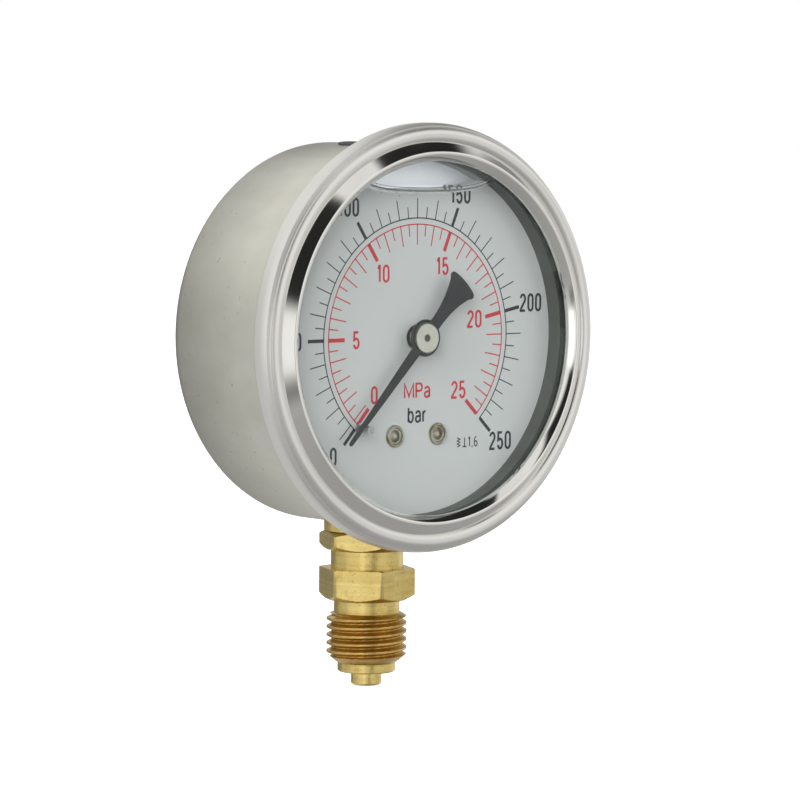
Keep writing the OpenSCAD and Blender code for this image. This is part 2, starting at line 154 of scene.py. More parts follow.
# ---------------------------------------------------------------- material helpers
class Graph:
    """A node tree with short calls: graph("TexNoise", Scale=5, Vector=link) gives a new node."""

    def __init__(self, tree):
        self.tree = tree
        tree.nodes.clear()

    def __call__(self, kind, *attributes, **inputs):
        made = self.tree.nodes.new("ShaderNode" + kind)
        for key, value in attributes:
            setattr(made, key, value)
        for key, value in inputs.items():
            self.put(made.inputs[int(key[1:]) if key[0] == "_" else key.replace("_", " ")], value)
        return made

    def put(self, socket, value):
        if isinstance(value, bpy.types.Node):
            value = value.outputs[0]
        if isinstance(value, bpy.types.NodeSocket):
            self.tree.links.new(value, socket)
        else:
            socket.default_value = value

    def math(self, operation, *values):
        """Math node, such as ADD, on one or two values."""
        return self("Math", ("operation", operation), **{f"_{i}": v for i, v in enumerate(values)})

    def ramp(self, fac, *stops):
        """Colour ramp with (position, colour) stops; a number stands for a grey."""
        made = self("ValToRGB", Fac=fac)
        elements = made.color_ramp.elements
        while len(elements) < len(stops):
            elements.new(0.5)
        for element, (position, colour) in zip(elements, stops):
            element.position = position
            element.color = (colour,) * 3 + (1,) if isinstance(colour, (int, float)) else (*colour, 1)
        return made

    def mix(self, factor, first, second, blend="MIX"):
        """Colour mix: by MULTIPLY, or from the first colour to the second."""
        attributes = (("data_type", "RGBA"), ("blend_type", blend))
        return self("Mix", *attributes, Factor=factor, _6=first, _7=second).outputs[2]

    def coords(self):
        return self("TexCoord").outputs["Object"]

    def height(self):
        return self("SeparateXYZ", Vector=self.coords()).outputs[2]

    def about_axis(self, along, centre=(0, 0, 0), turns=1.0, across=1.0, lengthwise=1.0):
        """Vector of angle, radius and place along an axis, "y" or "z", each with its own scale."""
        shifted = self("VectorMath", ("operation", "SUBTRACT"), _0=self.coords(), _1=centre)
        parts = self("SeparateXYZ", Vector=shifted)
        x, y, z = parts.outputs
        side, length = (z, y) if along == "y" else (y, z)
        angle = self.math("ARCTAN2", x, side)
        squares = self.math("ADD", self.math("MULTIPLY", x, x), self.math("MULTIPLY", side, side))
        radius = self.math("SQRT", squares)
        return self(
            "CombineXYZ",
            X=self.math("MULTIPLY", angle, turns),
            Y=self.math("MULTIPLY", radius, across),
            Z=self.math("MULTIPLY", length, lengthwise),
        )

    def dial_radius(self):
        return self("SeparateXYZ", Vector=self.about_axis("y", DIAL_AXIS)).outputs[1]

    def noise(self, vector, scale, detail, roughness):
        """Noise value; the scale is in waves per metre."""
        made = self("TexNoise", Vector=vector, Scale=scale, Detail=detail, Roughness=roughness)
        return made.outputs["Fac"]

    def between(self, fac, low, high):
        """A value from 0 to 1 put between low and high."""
        return self("MapRange", Value=fac, To_Min=low, To_Max=high)

    def bump(self, height, distance, strength):
        """Fine relief; the distance is in metres."""
        return self("Bump", Height=height, Distance=distance, Strength=strength)


def material(name, make):
    """Material whose make(graph) returns the Principled sockets as a dict."""
    made = bpy.data.materials.new(name)
    made.use_nodes = True
    graph = Graph(made.node_tree)
    shader = graph("BsdfPrincipled")
    for key, value in make(graph).items():
        graph.put(shader.inputs[key], value)
    graph("OutputMaterial", Surface=shader)
    return made


# A point of the dial's axis, in metres, and the height of the liquid's surface over that axis
DIAL_AXIS = (0, 0, AXIS_H * MM)
LIQUID_LEVEL = 23.0


def brushed_steel(g):
    """Brushed round the wall, with a straight grain on the flat back."""
    depth = g("SeparateXYZ", Vector=g.coords()).outputs[1]
    edge = (CASE_BACK - 1.4) * MM
    flat = g("MapRange", Value=depth, From_Min=edge, From_Max=(CASE_BACK - 0.5) * MM)
    grain = g("VectorMath", ("operation", "MULTIPLY"), _0=g.coords(), _1=(70, 70, 5200))

    def on_both(turns, lengthwise, sheet, detail, roughness):
        wall = g.noise(g.about_axis("y", DIAL_AXIS, turns, 0, lengthwise), 1, detail, roughness)
        return g("Mix", _0=flat, _2=wall, _3=g.noise(*sheet, detail, roughness)).outputs[0]

    lines = on_both(1.2, 5200, (grain, 1), 4, 0.7)
    clouds = on_both(2.2, 70, (g.coords(), 60), 3, 0.6)
    smears = on_both(9, 160, (g.coords(), 190), 4, 0.6)
    specks = g.noise(g.coords(), 900, 2, 0.6)
    tone = g.math("ADD", g.math("MULTIPLY", clouds, 0.6), g.math("MULTIPLY", smears, 0.4))
    pits = g.ramp(specks, (0.27, 0.55), (0.32, 1.0))
    shade = g.ramp(tone, (0.3, (0.70, 0.69, 0.60)), (0.7, (0.82, 0.81, 0.72)))
    # Painted shade: the wall is made darker towards the back of the case, down to half its colour at the back
    # edge.
    along = g("MapRange", Value=depth, From_Min=BEZEL_BACK * MM, From_Max=CASE_BACK * MM)
    back_shade = g.ramp(along, (0.0, 0.94), (0.35, 0.90), (1.0, 0.50))
    colour = g.mix(1.0, g.mix(0.5, shade, pits, "MULTIPLY"), back_shade, "MULTIPLY")
    uneven = g.math("ADD", g.math("MULTIPLY", lines, 0.5), g.math("MULTIPLY", clouds, 0.5))
    return {
        "Base Color": colour,
        "Metallic": 1.0,
        "Roughness": g.between(uneven, 0.36, 0.5),
        "Normal": g.bump(lines, 0.00004, 0.35),
    }


def polished_steel(g):
    """Satin ring with a mirror-bright ridge round the opening."""
    ring = g.about_axis("y", DIAL_AXIS, 0.6, 4200, 4200)
    lines = g.noise(ring, 1, 3, 0.6)
    clouds = g.noise(g.coords(), 60, 3, 0.6)
    radius = g.dial_radius()
    satin = g("MapRange", Value=radius, From_Min=31.45 * MM, From_Max=31.65 * MM)
    corner = g("MapRange", Value=radius, From_Min=33.2 * MM, From_Max=33.8 * MM)
    mirror_rough, satin_rough = g.between(clouds, 0.07, 0.11), g.between(clouds, 0.24, 0.34)
    rough = g("Mix", Factor=satin, A=mirror_rough, B=satin_rough)
    rough = g("Mix", Factor=corner, A=rough, B=g.between(clouds, 0.40, 0.50))
    return {
        "Base Color": g.ramp(clouds, (0.3, (0.76, 0.75, 0.705)), (0.7, (0.82, 0.81, 0.775))),
        "Metallic": 1.0,
        "Roughness": rough,
        "Normal": g.bump(lines, 0.00001, 0.25),
    }


def turned_brass(g):
    """Brass with turning marks, and painted shade over the threaded length: darker and redder there, in place
    of shade and reflections between the threads.
    """
    rings = g.noise(g.about_axis("z", (0, 0, 0), 0.4, 2600, 5200), 1, 3, 0.6)
    clouds = g.noise(g.coords(), 260, 3, 0.6)
    pits = g.noise(g.coords(), 2600, 3, 0.7)
    stain = g.noise(g.coords(), 700, 4, 0.7)
    # Painted shade and painted reflected colour: the thread's length gets a darker, redder brass.
    along = g("MapRange", Value=g.height(), From_Min=1.2 * MM, From_Max=11.2 * MM)
    thread_shade_mask = g.ramp(along, (0.0, 0.0), (0.1, 1.0), (0.82, 1.0), (0.95, 0.0))
    bright = g.ramp(clouds, (0.3, (0.69, 0.52, 0.17)), (0.7, (0.80, 0.635, 0.25)))
    thread_shade_tone = g.ramp(clouds, (0.3, (0.56, 0.36, 0.105)), (0.7, (0.70, 0.48, 0.16)))
    colour = g.mix(thread_shade_mask, bright, thread_shade_tone)
    marks = g.ramp(pits, (0.30, (0.42, 0.30, 0.13)), (0.40, (1.0, 1.0, 1.0)))
    tarnish = g.ramp(stain, (0.28, (0.70, 0.60, 0.42)), (0.45, (1.0, 1.0, 1.0)))
    colour = g.mix(0.7, colour, marks, "MULTIPLY")
    colour = g.mix(0.6, colour, tarnish, "MULTIPLY")
    turning = g.noise(g.about_axis("z", (0, 0, 0), 0.2, 0, 2100), 1, 2, 0.5)
    cut = g.ramp(turning, (0.35, 0.80), (0.6, 1.0))
    colour = g.mix(0.8, colour, cut, "MULTIPLY")
    height = g.math("ADD", g.math("MULTIPLY", rings, 0.6), g.math("MULTIPLY", pits, 0.4))
    return {
        "Base Color": colour,
        "Metallic": 1.0,
        "Roughness": g.between(stain, 0.22, 0.36),
        "Normal": g.bump(height, 0.00003, 0.4),
    }


def mottled(metallic, clouds, grain, dark, light, rough, relief, stops=(0.3, 0.7)):
    """Cloudy colour, uneven gloss and a fine grain; each noise is (scale, detail, roughness)."""
    def make(g):
        cloud = g.noise(g.coords(), *clouds)
        return {
            "Base Color": g.ramp(cloud, (stops[0], dark), (stops[1], light)),
            "Metallic": metallic,
            "Roughness": g.between(cloud, *rough),
            "Normal": g.bump(g.noise(g.coords(), *grain), *relief),
        }
    return make


def dial_paint(g):
    """White paint, with painted shade above the liquid, where the dial is made greyer."""
    clouds = g.noise(g.coords(), 45, 3, 0.6)
    grain = g.noise(g.coords(), 2600, 3, 0.7)
    # Painted shade: the dial above the liquid's surface gets a much darker grey.
    top = AXIS_H + LIQUID_LEVEL
    shade_above_liquid = g("MapRange", Value=g.height(), From_Min=(top + 0.9) * MM, From_Max=(top + 1.5) * MM)
    dial_tone = g.ramp(clouds, (0.3, (0.64, 0.650, 0.645)), (0.7, (0.665, 0.675, 0.67)))
    shaded_dial_tone = g.ramp(clouds, (0.3, (0.40, 0.415, 0.44)), (0.7, (0.42, 0.435, 0.46)))
    return {
        "Base Color": g.mix(shade_above_liquid, dial_tone, shaded_dial_tone),
        "Roughness": g.between(grain, 0.45, 0.6),
        "Normal": g.bump(grain, 0.00001, 0.25),
    }


def ink(dark, light):
    """Printed ink with a slight mottle."""
    def make(g):
        mottle = g.noise(g.coords(), 2200, 3, 0.7)
        return {
            "Base Color": g.ramp(mottle, (0.3, dark), (0.7, light)),
            "Roughness": g.between(mottle, 0.45, 0.6),
        }
    return make


def hub_nickel(g):
    """Bright turned cap with the dark end of the shaft at its centre."""
    rings = g.noise(g.about_axis("y", DIAL_AXIS, 0.5, 6000, 0), 1, 3, 0.6)
    clouds = g.noise(g.coords(), 500, 3, 0.6)
    radius = g.dial_radius()
    centre = g("MapRange", Value=radius, From_Min=0.45 * MM, From_Max=0.75 * MM)
    cap_tone = g.ramp(clouds, (0.3, (0.88, 0.84, 0.72)), (0.7, (0.96, 0.93, 0.84)))
    return {
        "Base Color": g.mix(centre, (0.16, 0.13, 0.09, 1), cap_tone),
        "Metallic": 1.0,
        "Roughness": g.between(clouds, 0.28, 0.4),
        "Normal": g.bump(rings, 0.00001, 0.5),
    }


def clear_material(name, make):
    """Material whose make(graph) returns a whole shader."""
    made = bpy.data.materials.new(name)
    made.use_nodes = True
    graph = Graph(made.node_tree)
    graph("OutputMaterial", Surface=make(graph))
    return made


def window_glass(g):
    """Thin pane: it mirrors by angle on both faces and doesn't bend what is behind it."""
    smears = g.noise(g.coords(), 90, 4, 0.6)
    gloss = g("BsdfGlossy", Color=(0.97, 0.99, 1.0, 1), Roughness=g.between(smears, 0.0, 0.03))
    through = g("BsdfTransparent", Color=(0.985, 0.992, 0.992, 1))
    share = g.math("MULTIPLY", g("Fresnel", IOR=1.5), g.between(smears, 0.5, 0.62))
    return g("MixShader", Fac=share, _1=through, _2=gloss)


def clear_liquid(shader):
    """Clear liquid that bends light and lets lamps through."""
    def make(g):
        haze = g.noise(g.coords(), 60, 3, 0.6)
        tint = (0.985, 0.995, 0.99, 1)
        body = g(shader, IOR=1.47, Color=tint, Roughness=g.between(haze, 0.0, 0.006))
        through = g("BsdfTransparent", Color=tint)
        return g("MixShader", Fac=g("LightPath").outputs["Is Shadow Ray"], _1=body, _2=through)
    return make


def meniscus_painted_dark(g):
    """Painted shade for the dark look of a meniscus seen along its curve, slightly transparent."""
    drift = g.noise(g.coords(), 400, 3, 0.6)
    dark = g.ramp(drift, (0.3, (0.006, 0.007, 0.007)), (0.7, (0.03, 0.032, 0.032)))
    body = g("BsdfPrincipled", Base_Color=dark, Roughness=0.5)
    through = g("BsdfTransparent", Color=(0.8, 0.82, 0.84, 1))
    return g("MixShader", Fac=g.between(drift, 0.85, 1.0), _1=through, _2=body)


STEEL = material("stainless_case", brushed_steel)
BEZEL = material("polished_bezel", polished_steel)
BRASS = material("brass_fitting", turned_brass)
INNER_BRASS = material("brass_movement", mottled(
    1.0, (300, 3, 0.6), (3000, 2, 0.6), (0.66, 0.50, 0.22), (0.76, 0.60, 0.30), (0.28, 0.42), (0.00001, 0.4),
))
BRONZE = material("bronze_tube", mottled(
    1.0, (180, 4, 0.6), (2400, 2, 0.6), (0.52, 0.30, 0.13), (0.66, 0.42, 0.20), (0.3, 0.45), (0.00001, 0.4),
))
SMALL_STEEL = material("steel_small", mottled(
    1.0, (500, 3, 0.6), (4000, 2, 0.6), (0.55, 0.54, 0.51), (0.68, 0.67, 0.65), (0.22, 0.36), (0.00001, 0.3),
))
TARNISHED = material("steel_tarnished", mottled(
    1.0, (4200, 3, 0.7), (4200, 3, 0.7), (0.10, 0.08, 0.055), (0.24, 0.20, 0.15), (0.35, 0.5), (0.00001, 0.4),
))
RUBBER = material("rubber_dark", mottled(
    0.0, (220, 3, 0.6), (5200, 3, 0.7), (0.075, 0.082, 0.074), (0.115, 0.125, 0.112), (0.5, 0.68),
    (0.00003, 0.4),
))
PLUG = material("rubber_plug", mottled(
    0.0, (220, 3, 0.6), (5200, 3, 0.7), (0.022, 0.024, 0.023), (0.040, 0.043, 0.041), (0.6, 0.75),
    (0.00003, 0.4),
))
DIAL = material("dial_white", dial_paint)
BLACK_INK = material("ink_black", ink((0.012, 0.013, 0.014), (0.022, 0.024, 0.026)))
RED_INK = material("ink_red", ink((0.56, 0.030, 0.045), (0.66, 0.045, 0.060)))
BLACK = material("pointer_black", mottled(
    0.0, (400, 3, 0.6), (4200, 3, 0.7), (0.010, 0.011, 0.011), (0.020, 0.022, 0.022), (0.4, 0.55),
    (0.00001, 0.4),
))
NICKEL = material("dial_screw_nickel", mottled(
    1.0, (620, 4, 0.65), (3600, 3, 0.7), (0.46, 0.38, 0.22), (0.80, 0.76, 0.64), (0.3, 0.46), (0.00001, 0.4),
    stops=(0.35, 0.62),
))
HUB = material("hub_nickel", hub_nickel)
WINDOW = clear_material("window_clear", window_glass)
LIQUID = clear_material("filling_liquid", clear_liquid("BsdfRefraction"))
# Only the liquid's top surface mirrors
LIQUID_TOP = clear_material("filling_liquid_top", clear_liquid("BsdfGlass"))
MENISCUS_DARK = clear_material("filling_meniscus_painted_dark", meniscus_painted_dark)

FINISH = {
    "stainless_case": STEEL, "polished_bezel": BEZEL, "window_clear": WINDOW, "rubber_dark": RUBBER,
    "brass_fitting": BRASS, "brass_movement": INNER_BRASS, "bronze_tube": BRONZE, "steel_small": SMALL_STEEL,
    "dial_white": DIAL, "dial_screw_nickel": NICKEL, "pointer_black": BLACK, "hub_nickel": HUB,
}
for part in frame["record"]["subparts"]:
    node = frame["nodes"][part["node"]]
    if not node.material_slots:
        node.data.materials.append(None)
    for slot in node.material_slots:
        slot.link = "OBJECT"
        slot.material = FINISH[part["material_slot"]]
frame["nodes"]["pinion_shaft"].material_slots[0].material = TARNISHED
frame["nodes"]["fill_plug"].material_slots[0].material = PLUG


# ---------------------------------------------------------------- case and bezel
# Opening of the ring, and the groove inside it that holds the window
OPENING_R = 28.4
SEAT_R = 33.85
SEAT_BACK = -14.0


def bezel_profile():
    """Outline of the crimped ring: skirt, round corner, bead, groove, and a ridge with two conical flanks."""
    front = BEZEL_FRONT
    return (
        [(CASE_R + 0.3, SEAT_BACK), (CASE_R + 0.3, BEZEL_BACK)]
        + arc(BEZEL_R - 0.5, BEZEL_BACK - 0.5, 0.5, 90, 0, 10)
        + arc(BEZEL_R - 2.8, front + 3.2, 2.8, 0, -25, 10)
        + arc(33.74, front + 2.25, 0.55, -30, -62, 6)
        + [(33.58, front + 1.55), (33.54, front + 1.5)]
        + arc(32.55, front + 2.45, 1.6, -52, -126, 20)
        + [(31.57, front + 1.2), (31.5, front + 1.25), (31.42, front + 1.2)]
        + arc(29.65, front + 0.55, 0.55, -52, -132, 14)
        + [(28.46, front + 0.96)]
        + arc(28.5, front + 1.08, 0.1, -132, -180, 4)
        + [(OPENING_R, WINDOW_FRONT), (SEAT_R, WINDOW_FRONT), (SEAT_R, SEAT_BACK)]
    )


bezel = revolve("bezel_polished", bezel_profile(), 512)
place(bezel, "root", "polished_bezel", BEZEL, "bezel_ring")


# ---------------------------------------------------------------- turned brass pieces
def turned(name, rows, bore, columns=192, sharp_angle=32):
    """Body about the stem axis. Each row is (z, radius at angle); bore is the radius of its hole."""
    angles = [2 * math.pi * i / columns for i in range(columns)]
    verts = [(radius(a) * math.cos(a), radius(a) * math.sin(a), z) for z, radius in rows for a in angles]
    for z in (rows[-1][0], rows[0][0]):
        verts += [(bore * math.cos(a), bore * math.sin(a), z) for a in angles]
    return smooth(mesh_object(name, verts, loft_faces(len(rows) + 2, columns, True)), sharp_angle)


# Hexagons: width across flats, and the angle that they stand at
HEX_AF = 14.0
HEX_TURN = math.radians(8.67)
HEX_LOW, HEX_HIGH = 11.9, 17.1
# G1/4 B thread, 55 degree form
THREAD_R = 6.5785
THREAD_DEPTH = 0.856
THREAD_CORE_R = THREAD_R - THREAD_DEPTH
THREAD_PITCH = 1.337
THREAD_LOW, THREAD_HIGH = 1.9, 9.6
CREST_Z = 2.81
HALF_ANGLE = math.radians(27.5)
TIP_R = 2.5
SPIGOT_R = 4.75
RELIEF_R = 5.4
NECK_R = 5.95
INNER_END_R = 5.0
BORE_R = 1.5


def plain(r):
    """The same radius at every angle."""
    return lambda a: r


def thread(z):
    """Radius of the right-hand thread at height z; it fades out at both ends."""
    def radius(a):
        turn = (z - CREST_Z) / THREAD_PITCH - a / (2 * math.pi)
        off = abs(turn - round(turn)) * THREAD_PITCH
        flank = (THREAD_PITCH / 2 - off) / math.tan(HALF_ANGLE)
        height = min(max(flank - 0.10, 0.0), THREAD_DEPTH)
        crest_cap = min(THREAD_R, 5.35 + (z - THREAD_LOW) * 1.2, 6.0 + (THREAD_HIGH - z) * 1.3)
        return max(min(THREAD_CORE_R + height, crest_cap), min(THREAD_CORE_R, crest_cap))
    return radius


def hex_rows(low, high, low_r, high_r, turn):
    """Rows of a hexagon whose corners are turned down by cones at both ends."""
    corner = HEX_AF / 2 / math.cos(math.radians(30))
    slope = math.tan(math.radians(30))
    drop_low, drop_high = (corner - low_r) * slope, (corner - high_r) * slope
    levels = [low + drop_low * i / 12 for i in range(13)]
    levels += [high - drop_high * (12 - i) / 12 for i in range(13)]

    def at(z):
        def radius(a):
            part = (a - turn) % (math.pi / 3) - math.pi / 6
            flat = HEX_AF / 2 / math.cos(part)
            return min(flat, corner - 0.04, low_r + (z - low) / slope, high_r + (high - z) / slope)
        return radius
    return [(z, at(z)) for z in levels]


thread_levels = [THREAD_LOW + 0.05 * i for i in range(154)]
stem_rows = (
    [(STEM_END_Z, plain(TIP_R - 0.3)), (STEM_END_Z + 0.3, plain(TIP_R)), (0, plain(TIP_R))]
    + [(0, plain(SPIGOT_R - 0.2)), (0.2, plain(SPIGOT_R)), (1.5, plain(SPIGOT_R)), (1.62, plain(5.0))]
    + [(z, thread(z)) for z in thread_levels]
    + [(9.75, plain(RELIEF_R)), (HEX_LOW, plain(RELIEF_R))]
    + hex_rows(HEX_LOW, HEX_HIGH, 6.5, 7.9, HEX_TURN)
    + [(HEX_HIGH, plain(NECK_R)), (NUT_TOP_Z + 3, plain(NECK_R))]
    + [(NUT_TOP_Z + 3, plain(INNER_END_R)), (STEM_TOP_Z, plain(INNER_END_R))]
)
stem = turned("stem_turned", stem_rows, BORE_R)
place(stem, "root", "brass_fitting", BRASS, "stem")

nut = turned("lock_nut_turned", hex_rows(NUT_Z, NUT_TOP_Z, 6.7, 6.7, HEX_TURN), NECK_R + 0.03)
place(nut, "root", "brass_fitting", BRASS, "lock_nut")


# ---------------------------------------------------------------- Bourdon tube
# Radius of the bend, thickness of the flat tube, and its two ends in degrees from the right, anticlockwise
TUBE_R = 19.5
TUBE_T = 3.0
TUBE_START, TUBE_END = -98, -402


def bourdon_tube():
    """Flattened tube swept clockwise about the dial axis, closed at both ends."""
    low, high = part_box("bourdon_tube")
    mid_y = (low.y + high.y) / 2 / MM
    straight = ((high.y - low.y) / MM - TUBE_T) / 2
    section = [(r, mid_y + straight + y) for r, y in arc(TUBE_R, 0, TUBE_T / 2, 0, 180, 12)]
    section += [(r, mid_y - straight + y) for r, y in arc(TUBE_R, 0, TUBE_T / 2, 180, 360, 12)]
    steps, count = 240, len(section)
    verts = []
    for i in range(steps + 1):
        a = math.radians(TUBE_START + (TUBE_END - TUBE_START) * i / steps)
        verts += [(r * math.cos(a), y, AXIS_H + r * math.sin(a)) for r, y in section]
    faces = loft_faces(steps + 1, count)
    faces += [tuple(range(count)), tuple(range(steps * count, (steps + 1) * count))]
    obj = smooth(mesh_object("bourdon_tube_bent", verts, faces), 40)
    obj.data.materials.append(BRONZE)
    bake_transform(obj)
    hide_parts("bourdon_tube")


bourdon_tube()


# ---------------------------------------------------------------- printing on the dial
# Thickness of the printing
PRINT_T = 0.02


class Print:
    """Flat marks on the dial face, gathered into one thin closed mesh for each colour."""

    def __init__(self):
        self.verts, self.faces = [], []

    def ribbon(self, points, width, closed=False):
        """Band of even width along a line of [x, height] points, with mitred joints."""
        pts = [Vector(p) for p in points]
        count = len(pts)
        base = len(self.verts)
        for i, p in enumerate(pts):
            before = pts[i - 1] if closed or i else p - (pts[1] - p)
            after = pts[(i + 1) % count] if closed or i < count - 1 else p + (p - pts[i - 1])
            d0, d1 = (p - before).normalized(), (after - p).normalized()
            n0, n1 = Vector((-d0.y, d0.x)), Vector((-d1.y, d1.x))
            mitre = (n0 + n1).normalized()
            reach = width / 2 / max(0.45, mitre.dot(n1))
            for side in (1, -1):
                q = p + mitre * reach * side
                for depth in (0.005, PRINT_T):
                    self.verts.append((q.x, DIAL_Y - depth, AXIS_H + q.y))
        for i in range(count if closed else count - 1):
            a, b = base + 4 * i, base + 4 * ((i + 1) % count)
            self.faces += [(a + 1, b + 1, b + 3, a + 3), (a, a + 2, b + 2, b)]
            self.faces += [(a, b, b + 1, a + 1), (a + 2, a + 3, b + 3, b + 2)]
        if not closed:
            a, b = base, base + 4 * (count - 1)
            self.faces += [(a, a + 1, a + 3, a + 2), (b, b + 2, b + 3, b + 1)]

    def circle(self, r, width, start, end):
        self.ribbon([clock(r, start + (end - start) * i / 160) for i in range(161)], width)

    def tick(self, angle, inner, outer, width):
        self.ribbon([clock(inner, angle), clock(outer, angle)], width)

    def text(self, string, centre, height, width, stroke, gap):
        """Characters of the stroke alphabet side by side, centred on a point."""
        widths = [width * GLYPHS[c][0] for c in string]
        x = centre[0] - (sum(widths) + gap * (len(string) - 1)) / 2
        for c, w in zip(string, widths):
            for line in GLYPHS[c][1]:
                inset = stroke / 2
                pts = [
                    (x + inset + px * (w - stroke), centre[1] - height / 2 + inset + py * (height - stroke))
                    for px, py in line
                ]
                self.ribbon(pts, stroke)
            x += w + gap

    def build(self, name, ink_material):
        obj = mesh_object(name, self.verts, self.faces)
        obj.data.update()
        return place(obj, "root", "dial_white", ink_material)


def bow(cx, cy, rx, ry, start, end, steps=10):
    """Points of an elliptical arc in the cell of a character, in degrees."""
    angles = [math.radians(start + (end - start) * i / steps) for i in range(steps + 1)]
    return [(cx + rx * math.cos(a), cy + ry * math.sin(a)) for a in angles]


# Each character is (width, strokes); a stroke is a line of points in a cell one unit wide and high
GLYPHS = {
    "0": (1.0, [bow(0.5, 0.76, 0.5, 0.24, 0, 180) + bow(0.5, 0.24, 0.5, 0.24, 180, 360) + [(1, 0.76)]]),
    "1": (0.62, [[(0.0, 0.80), (0.45, 1.0), (0.75, 1.0), (0.75, 0.0)]]),
    "2": (1.0, [bow(0.5, 0.74, 0.5, 0.26, 170, -25) + [(0.0, 0.06), (0.0, 0.0), (1.0, 0.0)]]),
    "5": (1.0, [[(0.92, 1.0), (0.1, 1.0), (0.06, 0.52)] + bow(0.5, 0.30, 0.5, 0.30, 120, -165, 14)]),
    "6": (1.0, [[(0.72, 1.0)] + bow(0.62, 0.62, 0.62, 0.38, 100, 180, 6)
                + bow(0.5, 0.28, 0.5, 0.28, 180, 540, 16)]),
    ",": (0.4, [[(0.5, 0.10), (0.3, -0.12)]]),
    "M": (1.75, [[(0.0, 0.0), (0.0, 1.0), (0.5, 0.1), (1.0, 1.0), (1.0, 0.0)]]),
    "P": (1.25, [[(0.0, 0.0), (0.0, 1.0), (0.62, 1.0)] + bow(0.68, 0.74, 0.32, 0.26, 70, -70, 8)
                 + [(0.62, 0.48), (0.0, 0.48)]]),
    "a": (1.1, [bow(0.5, 0.52, 0.45, 0.22, 165, 20, 8) + [(0.95, 0.50), (0.95, 0.0)],
                [(0.95, 0.42)] + bow(0.45, 0.20, 0.45, 0.20, 80, 300, 12) + [(0.95, 0.16)]]),
    "b": (1.1, [[(0.0, 0.0), (0.0, 1.0)], bow(0.5, 0.36, 0.5, 0.36, 180, -180, 18)]),
    "r": (0.72, [[(0.0, 0.0), (0.0, 0.72)], bow(0.75, 0.38, 0.75, 0.33, 172, 68, 8)]),
    "Z": (1.3, [[(0.15, 1.0), (0.85, 0.83), (0.15, 0.66), (0.85, 0.5), (0.15, 0.33), (0.85, 0.16),
                 (0.15, 0.0)]]),
    "T": (1.35, [[(0.0, 0.0), (1.0, 0.0)], [(0.5, 0.0), (0.5, 1.0)]]),
}

# Two scales, 0 to 250 bar in black outside and 0 to 25 MPa in red inside, share their angles;
# the first mark stands a little closer to the second than an even scale would put it
BAR_ARC_R, BAR_TICK_R, BAR_SHORT_R = 19.2, 22.4, 21.0
MPA_ARC_R, MPA_TICK_R, MPA_SHORT_R = 18.2, 14.9, 16.3
NUMBER_R = 12.55
SCALE_START, SCALE_END = -138.2, 135.2
BAR_STEP = 1.125
BAR_MAX = 250
HAIRLINE, RED_HAIRLINE, HEAVY, RED_HEAVY = 0.18, 0.2, 0.57, 0.65


def bar_angle(bar):
    return SCALE_END - 0.2 - (BAR_MAX - bar) * BAR_STEP


black, red = Print(), Print()
black.circle(BAR_ARC_R, 0.2, SCALE_START, SCALE_END)
red.circle(MPA_ARC_R, 0.2, SCALE_START, SCALE_END)
for bar in range(10, BAR_MAX + 1, 5):
    angle = bar_angle(bar)
    heavy = bar % 50 == 0
    long = bar % 10 == 0
    black.tick(angle, BAR_ARC_R, BAR_TICK_R if long else BAR_SHORT_R, HEAVY if heavy else HAIRLINE)
    red.tick(angle, MPA_ARC_R, MPA_TICK_R if long else MPA_SHORT_R, RED_HEAVY if heavy else RED_HAIRLINE)
black.tick(SCALE_START, BAR_ARC_R - 0.1, BAR_TICK_R, HEAVY)
red.tick(SCALE_START, MPA_ARC_R + 0.1, MPA_TICK_R, RED_HEAVY)
for string, centre in (
    ("0", (-17.1, -18.5)), ("50", (-25.2, 0)), ("100", (-14.25, 21.05)),
    ("150", (9.1, 22.9)), ("200", (24.5, 5.0)), ("250", (18.1, -17.5)),
):
    black.text(string, centre, 3.05, 1.38, 0.42, 0.3)
for string, angle in (
    ("0", -135.8), ("5", -90.4), ("10", -34.2), ("15", 25.4), ("20", 77.9), ("25", 134.5),
):
    red.text(string, clock(NUMBER_R, angle), 2.92, 1.4, 0.40, 0.3)
red.text("MPa", (0.2, -8.6), 2.6, 1.25, 0.36, 0.24)
black.text("bar", (0.2, -12.5), 2.7, 1.2, 0.36, 0.22)
black.text("ZT1,6", (10.9, -17.4), 1.7, 0.8, 0.2, 0.22)
black.build("dial_print_black", BLACK_INK)
red.build("dial_print_red", RED_INK)


# ---------------------------------------------------------------- filling liquid
LIQUID_R = GASKET_IN_R + 0.3
LIQUID_FRONT, LIQUID_BACK = WINDOW_BACK - 0.02, DIAL_Y + 0.2
LIQUID_HALF = math.sqrt(LIQUID_R ** 2 - LIQUID_LEVEL ** 2)
# How far from the window, the dial and the round wall the surface starts to climb
CREEP = 0.7
SIDE_CREEP = 3.2


def liquid_height(x, y):
    """Height of the liquid's surface over the dial axis; it climbs the window, the dial and the sides."""
    rise = 0.45 * math.exp(-(y - LIQUID_FRONT) / CREEP)
    rise += 1.25 * math.exp(-(LIQUID_BACK - y) / CREEP)
    rise += 6.0 * math.exp(-(LIQUID_HALF - abs(x)) / SIDE_CREEP)
    return LIQUID_LEVEL + rise


def liquid_end(y):
    """Half the length of the surface at one depth, where it meets the round wall."""
    x = LIQUID_HALF - 2
    for _ in range(40):
        x += 0.3 * (math.sqrt(max(0, LIQUID_R ** 2 - liquid_height(x, y) ** 2)) - x)
    return x


